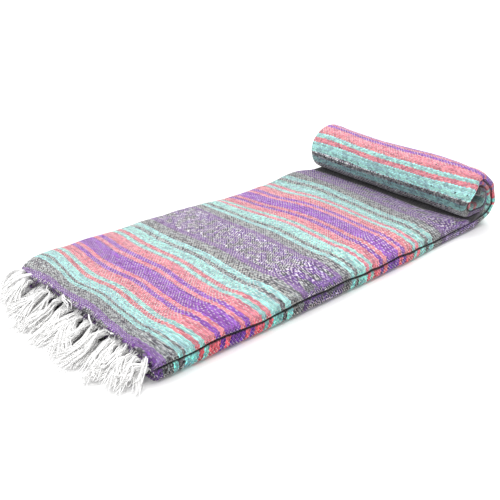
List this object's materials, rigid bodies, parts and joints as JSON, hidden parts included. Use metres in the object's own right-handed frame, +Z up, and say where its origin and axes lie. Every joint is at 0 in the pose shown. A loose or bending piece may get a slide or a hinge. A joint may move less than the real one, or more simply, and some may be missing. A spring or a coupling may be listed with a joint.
{
  "type": "serape blanket",
  "caption": "Striped woven serape blanket with knotted fringe, folded to a long strip that lies flat at one end and is rolled up at the other.",
  "frame": {"origin": "on the floor, under the middle of the bounding box", "axes": "+X along the strip from the fringe to the roll, +Y across it from the thick fold to the far side, +Z up"},
  "size_m": [0.7146, 0.3206, 0.0962],
  "materials": {
    "serape_cloth": "matt woven cloth with crosswise stripes in teal, coral, purple and heather grey",
    "cotton_fringe": "soft off-white cotton yarn, knotted and left loose"
  },
  "bodies": {
    "root": {"lower_leaf_flat": "serape_cloth", "upper_leaf_flat": "serape_cloth", "lower_leaf_roll": "serape_cloth", "upper_leaf_roll": "serape_cloth", "tucked_end": "serape_cloth", "fringe_upper_top": "cotton_fringe", "fringe_upper_under": "cotton_fringe", "fringe_lower_top": "cotton_fringe", "fringe_lower_under": "cotton_fringe"}
  },
  "joints": []
}
